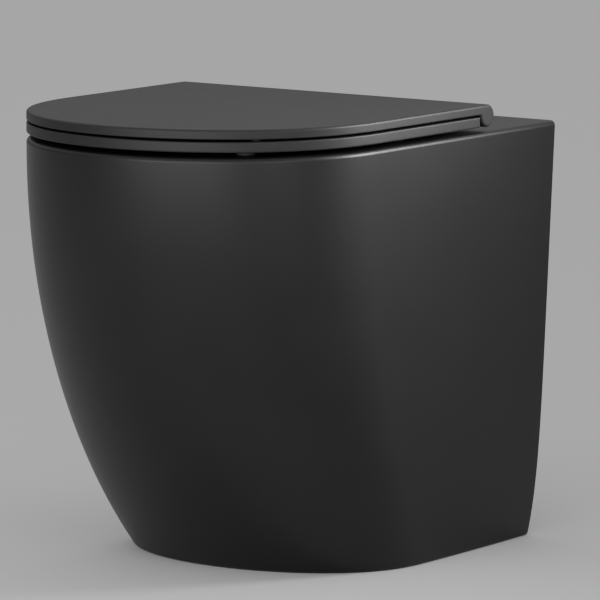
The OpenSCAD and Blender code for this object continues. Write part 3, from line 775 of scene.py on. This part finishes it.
    def service_opening(self) -> Mould:
        """Makes the opening in the back wall, round at its upper corners.

        Returns:
            The closed opening, to be cut out.
        """
        half, radius = self.service_w / 2, self.service_r
        points = []
        for d in (-OVERRUN, self.wall + OVERRUN):
            points += [self.size.at(x, d, -OVERRUN) for x in (-half, half)]
            for a in arc(0, 90, 10):
                x = half - radius * (1 - math.cos(a))
                z = self.service_h - radius * (1 - math.sin(a))
                points += [self.size.at(-x, d, z), self.size.at(x, d, z)]
        return Mould().wrap(points)

    def holes(self) -> list[Mould]:
        """Makes the seat fixing holes and the holes for the bracket plugs.

        Returns:
            The holes, to be cut out.
        """
        moulds = []
        size = self.size
        for side in Side:
            x = side.value * size.hole_spacing / 2
            under = size.at(x, size.hole_back, size.rim - self.deck_t - OVERRUN)
            over = size.at(x, size.hole_back, size.rim + OVERRUN)
            moulds.append(Mould().rod(self.hole_d / 2, under, over, 48))
            start = size.at(side.value * (self.pad_face - OVERRUN), self.bracket_back, self.plug_z)
            end = size.at(side.value * (self.pad_face + self.plug_len), self.bracket_back, self.plug_z)
            moulds.append(Mould().rod(self.plug_d / 2, start, end, 32))
        return moulds

    def build(self) -> bpy.types.Object:
        """Makes the whole casting.

        Returns:
            The object, which rides on the pan and stands for the CAD node.
        """
        body = self.outside().cast("pan_casting")
        work(body, [self.bowl_outside()], Joining.ADD)
        work(body, [self.duct(self.duct_wall)], Joining.ADD)
        work(body, [self.spigot(), *self.inlet(), *self.pads()], Joining.ADD)
        work(body, [self.bowl_inside()], Joining.CUT)
        work(body, [self.duct(0.0), self.service_opening()], Joining.CUT)
        work(body, [self.bar(self.inlet_d, self.inlet_back - OVERRUN, self.inlet_h, self.inlet_len + OVERRUN),
                    self.flush_slot(), *self.holes()], Joining.CUT)
        smooth(body)
        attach(body, "pan")
        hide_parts("pan")
        return body


@dataclass
class Seat:
    """The seat ring, with its two hinge knuckles."""

    size: Size
    hole_w: float = 214.0
    hole_back: float = 190.0
    front: float = 56.0
    edge_r: float = 1.5
    under_r: float = 1.5
    crown: float = 0.8
    corner_r: float = 3.0
    lip_r: float = 6.0
    barrel_gap: float = 0.8
    damper_d: float = 10.4
    damper_len: float = 30.0
    pin_d: float = 6.0
    pin_len: float = 24.0
    arm_low: float = 7.5
    arm_back: float = 5.0
    arm_step: float = 0.25
    bolt_head_d: float = 11.0
    bolt_head_top: float = 7.4
    bolt_head_room: float = 2.0

    @property
    def back(self) -> float:
        """Distance from the wall to the back edge of the seat."""
        return self.size.axis_back + self.size.barrel_r + self.barrel_gap

    def plate(self) -> Mould:
        """Makes the ring of the seat, rounded above and towards its opening.

        Returns:
            The closed ring.
        """
        size = self.size
        outer = size.cover(self.back, self.corner_r)
        mid = (self.hole_back + size.depth - self.front) / 2
        reach = size.depth - self.front - mid
        pairs = []
        for x, d in outer:
            turn = math.atan2(d - mid, x)
            inner = Vector((self.hole_w / 2 * math.cos(turn), mid + reach * math.sin(turn)))
            pairs.append((Vector((x, d)), inner))

        def ring(length: float, share: float, z: float) -> list[Vector]:
            """One ring of points round the seat.

            Args:
                length: How far they lie towards the opening, in millimetres.
                share: How far they lie besides, as a share of the seat's width.
                z: Their height above the seat's underside.

            Returns:
                The points of the ring.
            """
            points = []
            for start, end in pairs:
                across = end - start
                place = start + across * (share + length / across.length)
                points.append(size.at(place.x, place.y, size.seat_z + z))
            return points

        top, edge, lip, under = size.seat_t, self.edge_r, self.lip_r, self.under_r
        inner_top = top - self.crown
        rings = [ring(under * (1 - math.sin(a)), 0, under * (1 - math.cos(a))) for a in arc(0, 90, 4)]
        rings += [ring(edge * (1 - math.cos(a)), 0, top - edge * (1 - math.sin(a))) for a in arc(0, 90, 5)]
        rings += [ring(0, share, top - self.crown * share ** 2) for share in (0.25, 0.5, 0.75)]
        rings += [ring(lip * (math.sin(a) - 1), 1, inner_top - lip * (1 - math.cos(a)))
                  for a in arc(0, 90, 8)]
        rings += [ring(under * (math.cos(a) - 1), 1, under * (1 - math.sin(a))) for a in arc(0, 90, 4)]
        return Mould().loft(rings, loop=True)

    def knuckles(self) -> list[Mould]:
        """Makes the knuckles, each on an arm from the back edge.

        Returns:
            The knuckles and their arms, to be added.
        """
        size = self.size
        moulds = []
        for side in Side:
            start, end = side.value * size.knuckle_x, side.value * size.knuckle_end
            moulds.append(size.hinge_rod(size.knuckle_r, start, end))
            arm_top = size.seat_z + size.seat_t - self.arm_step
            moulds.append(Mould().block(size.at(start, self.back + OVERRUN, size.axis_z - self.arm_low),
                                        size.at(end, size.axis_back + self.arm_back, arm_top)))
        return moulds

    def rooms(self) -> list[Mould]:
        """Makes the bores for the damper and the pin, and the room for the bolt heads.

        Returns:
            The rooms, to be cut out.
        """
        size = self.size
        end = size.knuckle_end
        moulds = [
            size.hinge_rod(self.damper_d / 2 + size.play, end - self.damper_len, end + OVERRUN),
            size.hinge_rod(self.pin_d / 2 + size.play, -end - OVERRUN, -end + self.pin_len + size.end_play),
        ]
        head = self.bolt_head_d / 2 + self.bolt_head_room
        low, top = size.seat_z - OVERRUN, size.rim + self.bolt_head_top
        for side in Side:
            x = side.value * size.hole_spacing / 2
            moulds.append(Mould().rod(head, size.at(x, size.hole_back, low),
                                      size.at(x, size.hole_back, top), 48))
            moulds.append(Mould().block(size.at(x - head, size.hole_back, low),
                                        size.at(x + head, self.back - 2 * OVERRUN, top)))
        return moulds

    def build(self) -> bpy.types.Object:
        """Makes the seat.

        Returns:
            The object, which rides on the seat and stands for the CAD node.
        """
        body = self.plate().cast("seat_ring")
        work(body, self.knuckles(), Joining.ADD)
        work(body, self.rooms(), Joining.CUT)
        smooth(body)
        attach(body, "seat")
        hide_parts("seat")
        return body


@dataclass
class Lid:
    """The slim lid, whose round back edge wraps over the hinges."""

    size: Size
    corner_r: float = 1.0
    edge_r: float = 2.5
    under_r: float = 1.0
    web_t: float = 5.5
    border: float = 18.0
    border_edge: float = 1.2
    border_step: float = 0.5
    recess_slope: float = 4.0
    recess_r: float = 2.0
    run_gap: float = 0.3
    lap: float = 1.9
    curl_drop: float = 3.7
    post_rise: float = 1.0
    damper_d: float = 14.0
    damper_len: float = 44.0
    damper_room: float = 0.5
    pin_d: float = 6.0
    pin_len: float = 30.0

    def plate(self) -> Mould:
        """Makes the flat part of the lid, hollowed below inside a border.

        Returns:
            The closed plate.
        """
        size = self.size
        outer = size.cover(size.axis_back, self.corner_r)

        def ring(inset: float, z: float) -> list[Vector]:
            """The outline, drawn in towards the middle of the lid.

            Args:
                inset: How far it is drawn in.
                z: Its height above the lid's underside.

            Returns:
                The points of the ring.
            """
            points = []
            for x, d in outer:
                forward = d - size.cover_mid
                share = 1 - inset / math.hypot(x, forward)
                points.append(size.at(x * share, size.cover_mid + forward * share, size.lid_z + z))
            return points

        web = size.lid_t - self.web_t
        slope, soft, under = self.border + self.recess_slope, self.recess_r, self.under_r
        rings = [ring(slope + soft * (1 - math.cos(a)), web - soft * (1 - math.sin(a)))
                 for a in arc(90, 30, 3)]
        rings += [ring(self.border + self.border_edge, self.border_step), ring(self.border, 0.0),
                  ring(under, 0.0)]
        rings += [ring(under * (1 - math.sin(a)), under * (1 - math.cos(a))) for a in arc(30, 90, 3)]
        rings += [ring(self.edge_r * (1 - math.cos(a)), size.lid_t - self.edge_r * (1 - math.sin(a)))
                  for a in arc(0, 90, 8)]
        return Mould().loft(rings)

    def barrel(self) -> Mould:
        """Makes the round back edge, rounded at its ends.

        Returns:
            The closed barrel, to be added.
        """
        size, edge = self.size, self.edge_r
        half = size.width / 2
        profile = [(size.barrel_r - edge * (1 - math.sin(a)), -half + edge * (1 - math.cos(a)))
                   for a in arc(0, 90, 6)]
        profile += [(size.barrel_r - edge * (1 - math.cos(a)), half - edge * (1 - math.sin(a)))
                    for a in arc(0, 90, 6)]
        rings = [[size.axis + Vector((x, r * math.cos(a), r * math.sin(a))) for a in arc(0, 360, 72)[:-1]]
                 for r, x in profile]
        return Mould().loft(rings)

    def cuts(self) -> list[Mould]:
        """Makes what is cut out of the lid so that it clears the hinges and the seat.

        Returns:
            The forms, to be cut out one after another.
        """
        size = self.size
        reach = size.barrel_r + OVERRUN
        split = (size.knuckle_end + size.fixed_x) / 2
        low, high = size.axis - Vector((0, reach, reach)), size.axis + Vector((0, reach, reach))

        def slab(x0: float, x1: float, y0: float, y1: float, z0: float, z1: float) -> Mould:
            """Returns a box from its bounds."""
            return Mould().block(Vector((x0, y0, z0)), Vector((x1, y1, z1)))

        moulds = [
            size.hinge_rod(size.knuckle_r + self.run_gap, -size.barrel_x, size.barrel_x),
            slab(-size.barrel_x, size.barrel_x, low.y, size.axis.y, low.z, size.lid_z),
            slab(-split, split, low.y, high.y, low.z, size.axis_z - self.curl_drop),
        ]
        for side in Side:
            x0, x1 = sorted((side.value * split, side.value * size.barrel_x))
            moulds.append(slab(x0, x1, low.y, high.y, low.z, size.axis_z + self.post_rise))
            moulds.append(slab(x0, x1, size.axis.y + self.lap, high.y, low.z, high.z))
        return moulds

    def rooms(self) -> list[Mould]:
        """Makes the bores for the damper and the pin.

        Returns:
            The bores, to be cut out.
        """
        size = self.size
        start = size.barrel_x
        return [
            size.hinge_rod(self.damper_d / 2 + size.play, -start - self.damper_len - self.damper_room,
                           -start + OVERRUN),
            size.hinge_rod(self.pin_d / 2 + size.play, start - OVERRUN, start + self.pin_len + size.end_play),
        ]

    def build(self) -> bpy.types.Object:
        """Makes the lid.

        Returns:
            The object, which rides on the lid and stands for the CAD node.
        """
        body = self.plate().cast("lid_cover")
        work(body, [self.barrel()], Joining.ADD)
        for cut in self.cuts():
            work(body, [cut], Joining.CUT)
        work(body, self.rooms(), Joining.CUT)
        smooth(body)
        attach(body, "lid")
        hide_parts("lid")
        return body


class Wire:
    """A shader socket that takes part in plain arithmetic."""

    def __init__(self, tree: bpy.types.NodeTree, socket: bpy.types.NodeSocket) -> None:
        """Wraps a socket.

        Args:
            tree: The tree that the socket belongs to.
            socket: The output socket.
        """
        self.tree = tree
        self.socket = socket

    def _math(self, operation: str, first: Value, second: Value) -> "Wire":
        """Returns the result of one Math node."""
        return add_node(self.tree, "ShaderNodeMath", {"operation": operation}, {0: first, 1: second})

    def __add__(self, other: Value) -> "Wire":
        """Returns self + other."""
        return self._math("ADD", self, other)

    __radd__ = __add__

    def __mul__(self, other: Value) -> "Wire":
        """Returns self * other."""
        return self._math("MULTIPLY", self, other)

    __rmul__ = __mul__

    def __sub__(self, other: Value) -> "Wire":
        """Returns self - other."""
        return self._math("SUBTRACT", self, other)

    def __rsub__(self, other: Value) -> "Wire":
        """Returns other - self."""
        return self._math("SUBTRACT", other, self)


def add_node(tree: bpy.types.NodeTree, kind: str, settings: dict[str, object],
             inputs: dict[Union[int, str], Value], output: Union[int, str] = 0) -> Wire:
    """Adds a shader node.

    Args:
        tree: The tree that gets the node.
        kind: The type of the node.
        settings: Attributes to set first. For a ramp, "stops" lists places and grey levels.
        inputs: The value or the wire of each input socket.
        output: The output socket that is returned.

    Returns:
        The chosen output as a wire.
    """
    node = tree.nodes.new(kind)
    for name, value in settings.items():
        if name == "stops":
            ramp = node.color_ramp
            for element, (place, level) in zip(ramp.elements, value):
                element.position = place
                element.color = (level, level, level, 1)
        else:
            setattr(node, name, value)
    for key, value in inputs.items():
        if isinstance(value, Wire):
            tree.links.new(value.socket, node.inputs[key])
        else:
            node.inputs[key].default_value = value
    return Wire(tree, node.outputs[output])


@dataclass(frozen=True)
class Finish:
    """How one surface looks: its colours, its gloss and its grain.

    The mottle and the grain are scales of noise per metre, the depth of the grain is millimetres.
    """

    name: str
    colour: tuple[float, float, float]
    tint: tuple[float, float, float]
    roughness: float
    spread: float
    mottle: float
    grain: float
    depth: float
    metallic: float = 0.0
    specular: float = 0.5
    coat: float = 0.0
    coat_roughness: float = 0.3
    brushed: bool = False

    def make(self) -> bpy.types.Material:
        """Builds the material from its nodes.

        Returns:
            The material.
        """
        material = bpy.data.materials.new(self.name)
        material.use_nodes = True
        tree = material.node_tree
        shader = next(n for n in tree.nodes if n.type == "BSDF_PRINCIPLED")
        place = add_node(tree, "ShaderNodeTexCoord", {}, {}, "Object")
        if self.brushed:
            place = add_node(tree, "ShaderNodeMapping", {}, {"Vector": place, "Scale": BRUSH_STRETCH})
        cloud = add_node(tree, "ShaderNodeTexNoise", {},
                         {"Vector": place, "Scale": self.mottle, "Detail": 3.0, "Roughness": 0.55})
        grain = add_node(tree, "ShaderNodeTexNoise", {},
                         {"Vector": place, "Scale": self.grain, "Detail": 4.0, "Roughness": 0.6})
        mask = add_node(tree, "ShaderNodeValToRGB", {"stops": ((0.35, 0.0), (0.65, 1.0))}, {"Fac": cloud})
        colour = add_node(tree, "ShaderNodeMix", {"data_type": "RGBA"},
                          {"Factor": mask, "A": (*self.colour, 1), "B": (*self.tint, 1)}, "Result")
        rough = (self.roughness - self.spread / 2) + self.spread / 2 * (cloud + grain)
        bump = add_node(tree, "ShaderNodeBump", {},
                        {"Height": grain, "Distance": self.depth * MM, "Strength": 1.0}, "Normal")
        tree.links.new(colour.socket, shader.inputs["Base Color"])
        tree.links.new(rough.socket, shader.inputs["Roughness"])
        tree.links.new(bump.socket, shader.inputs["Normal"])
        shader.inputs["Metallic"].default_value = self.metallic
        shader.inputs["Specular IOR Level"].default_value = self.specular
        shader.inputs["Coat Weight"].default_value = self.coat
        shader.inputs["Coat Roughness"].default_value = self.coat_roughness
        return material


FINISHES = {
    "black_ceramic": Finish("satin_black_glaze", (0.0050, 0.0050, 0.0050), (0.0060, 0.0060, 0.0060), 0.42,
                            0.08, 14.0, 700.0, 0.008, specular=0.27, coat=0.06, coat_roughness=0.30),
    "black_duroplast": Finish("matte_black_duroplast", (0.0092, 0.0092, 0.0092), (0.0106, 0.0106, 0.0106),
                              0.50, 0.10, 30.0, 1400.0, 0.006, specular=0.30),
    "dark_rubber": Finish("grey_black_rubber", (0.030, 0.030, 0.031), (0.042, 0.042, 0.043), 0.78, 0.12,
                          120.0, 2500.0, 0.02, specular=0.35),
    "brass": Finish("turned_brass", (0.60, 0.43, 0.17), (0.52, 0.36, 0.14), 0.32, 0.16,
                    90.0, 1500.0, 0.01, metallic=1.0),
    "white_plastic": Finish("white_acetal", (0.74, 0.74, 0.71), (0.70, 0.70, 0.66), 0.42, 0.10,
                            70.0, 1800.0, 0.01),
    "satin_steel": Finish("brushed_hinge_steel", (0.58, 0.585, 0.60), (0.50, 0.505, 0.52), 0.30, 0.14,
                          160.0, 1600.0, 0.01, metallic=1.0, brushed=True),
    "plain_steel": Finish("zinc_plated_steel", (0.54, 0.55, 0.57), (0.62, 0.62, 0.60), 0.36, 0.18,
                          110.0, 1200.0, 0.01, metallic=1.0),
}


@dataclass
class Wardrobe:
    """The finishes, each made once, and the pieces that wear them."""

    record: dict

    def __post_init__(self) -> None:
        """Makes each finish and notes which node wears which."""
        self.made = {slot: finish.make() for slot, finish in FINISHES.items()}
        self.worn = {part["node"]: part["material_slot"] for part in self.record["subparts"]}

    def dress(self, body: bpy.types.Object, slot: str) -> None:
        """Gives an object one finish all over."""
        body.data.materials.clear()
        body.data.materials.append(self.made[slot])

    def dress_nodes(self, nodes: dict[str, bpy.types.Object]) -> None:
        """Gives every CAD node the finish that the record names for it.

        Args:
            nodes: The objects of the CAD nodes by name.
        """
        for name, node in nodes.items():
            self.dress(node, self.worn[name])
            log.info("dressed %s in %s", name, self.worn[name])


@dataclass
class Studio:
    """The floor, the lights and the camera."""

    azimuth: float = 36.07
    elevation: float = 8.10
    distance: float = 5.324
    focal: float = 338.0
    aim: tuple[float, float, float] = (0.0, 0.0, 0.210)
    shift_right: float = 0.0385
    shift_up: float = 0.0334
    horizon: float = 0.14
    zenith: float = 1.25
    full_height: float = 0.95
    room_grey: float = 0.96
    floor_grey: float = 0.51
    floor_half: float = 20.0

    def floor(self) -> None:
        """Makes the plain pale floor."""
        bm = bmesh.new()
        bmesh.ops.create_grid(bm, x_segments=1, y_segments=1, size=self.floor_half)
        mesh = bpy.data.meshes.new("floor")
        bm.to_mesh(mesh)
        bm.free()
        floor = bpy.data.objects.new("floor", mesh)
        bpy.context.scene.collection.objects.link(floor)
        material = bpy.data.materials.new("pale_floor")
        material.use_nodes = True
        shader = next(n for n in material.node_tree.nodes if n.type == "BSDF_PRINCIPLED")
        shader.inputs["Base Color"].default_value = (*[self.floor_grey] * 3, 1)
        shader.inputs["Roughness"].default_value = 0.75
        shader.inputs["Specular IOR Level"].default_value = 0.2
        mesh.materials.append(material)

    def light(self, name: str, place: tuple[float, float, float], aim: tuple[float, float, float],
              size: tuple[float, float], power: float, spread: float = 180.0) -> None:
        """Adds a soft rectangular light.

        Args:
            name: Its name.
            place: Where it stands.
            aim: The point that it faces.
            size: Its width and height.
            power: Its power in watts.
            spread: How wide its beam opens, in degrees.
        """
        data = bpy.data.lights.new(name, "AREA")
        data.shape = "RECTANGLE"
        data.size, data.size_y = size
        data.energy = power
        data.spread = math.radians(spread)
        lamp = bpy.data.objects.new(name, data)
        lamp.location = place
        lamp.rotation_euler = (Vector(aim) - Vector(place)).to_track_quat("-Z", "Y").to_euler()
        lamp.visible_camera = False
        bpy.context.scene.collection.objects.link(lamp)

    def lights(self) -> None:
        """Adds the soft studio lights."""
        self.light("side_softbox", (0.66, 0.40, 0.60), (0.18, -0.13, 0.38), (0.22, 0.22), 1.75, 70.0)
        self.light("right_softbox", (2.3, -1.1, 0.8), (0.0, 0.0, 0.30), (1.4, 0.9), 18.0)
        self.light("front_softbox", (0.35, -2.4, 0.7), (0.0, 0.0, 0.35), (2.8, 0.8), 50.0)

    def room(self) -> None:
        """Makes the even light of the room, brightest overhead."""
        world = bpy.data.worlds.new("room")
        world.use_nodes = True
        tree = world.node_tree
        glow = next(n for n in tree.nodes if n.type == "BACKGROUND")
        way = add_node(tree, "ShaderNodeTexCoord", {}, {}, "Generated")
        height = add_node(tree, "ShaderNodeSeparateXYZ", {}, {"Vector": way}, "Z")
        level = add_node(tree, "ShaderNodeMapRange", {},
                         {"Value": height, "From Max": self.full_height,
                          "To Min": self.horizon, "To Max": self.zenith})
        tree.links.new(level.socket, glow.inputs["Strength"])
        glow.inputs["Color"].default_value = (*[self.room_grey] * 3, 1)
        bpy.context.scene.world = world

    def camera(self) -> None:
        """Stands the camera where the photograph was taken from."""
        az, el = math.radians(self.azimuth), math.radians(self.elevation)
        back = Vector((math.sin(az) * math.cos(el), -math.cos(az) * math.cos(el), math.sin(el)))
        right = Vector((math.cos(az), math.sin(az), 0))
        up = back.cross(right)
        data = bpy.data.cameras.new("camera")
        data.sensor_width = 36.0
        data.lens = self.focal
        data.clip_end = 100.0
        camera = bpy.data.objects.new("camera", data)
        camera.location = (Vector(self.aim) + back * self.distance + right * self.shift_right
                           + up * self.shift_up)
        camera.rotation_euler = back.to_track_quat("Z", "Y").to_euler()
        bpy.context.scene.collection.objects.link(camera)
        bpy.context.scene.camera = camera


def main() -> None:
    """Loads the frame, builds the shells, dresses every piece and sets up the studio."""
    logging.basicConfig(level=logging.INFO, format="%(name)s: %(message)s")
    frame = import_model()
    studio = Studio()
    studio.camera()
    studio.floor()
    studio.lights()
    studio.room()

    size = Size.from_frame()
    wardrobe = Wardrobe(frame["record"])
    wardrobe.dress_nodes(frame["nodes"])
    for maker, slot in ((Pan(size), "black_ceramic"), (Seat(size), "black_duroplast"),
                        (Lid(size), "black_duroplast")):
        piece = maker.build()
        wardrobe.dress(piece, slot)
        log.info("built %s with %d faces", piece.name, len(piece.data.polygons))


if __name__ == "__main__":
    main()
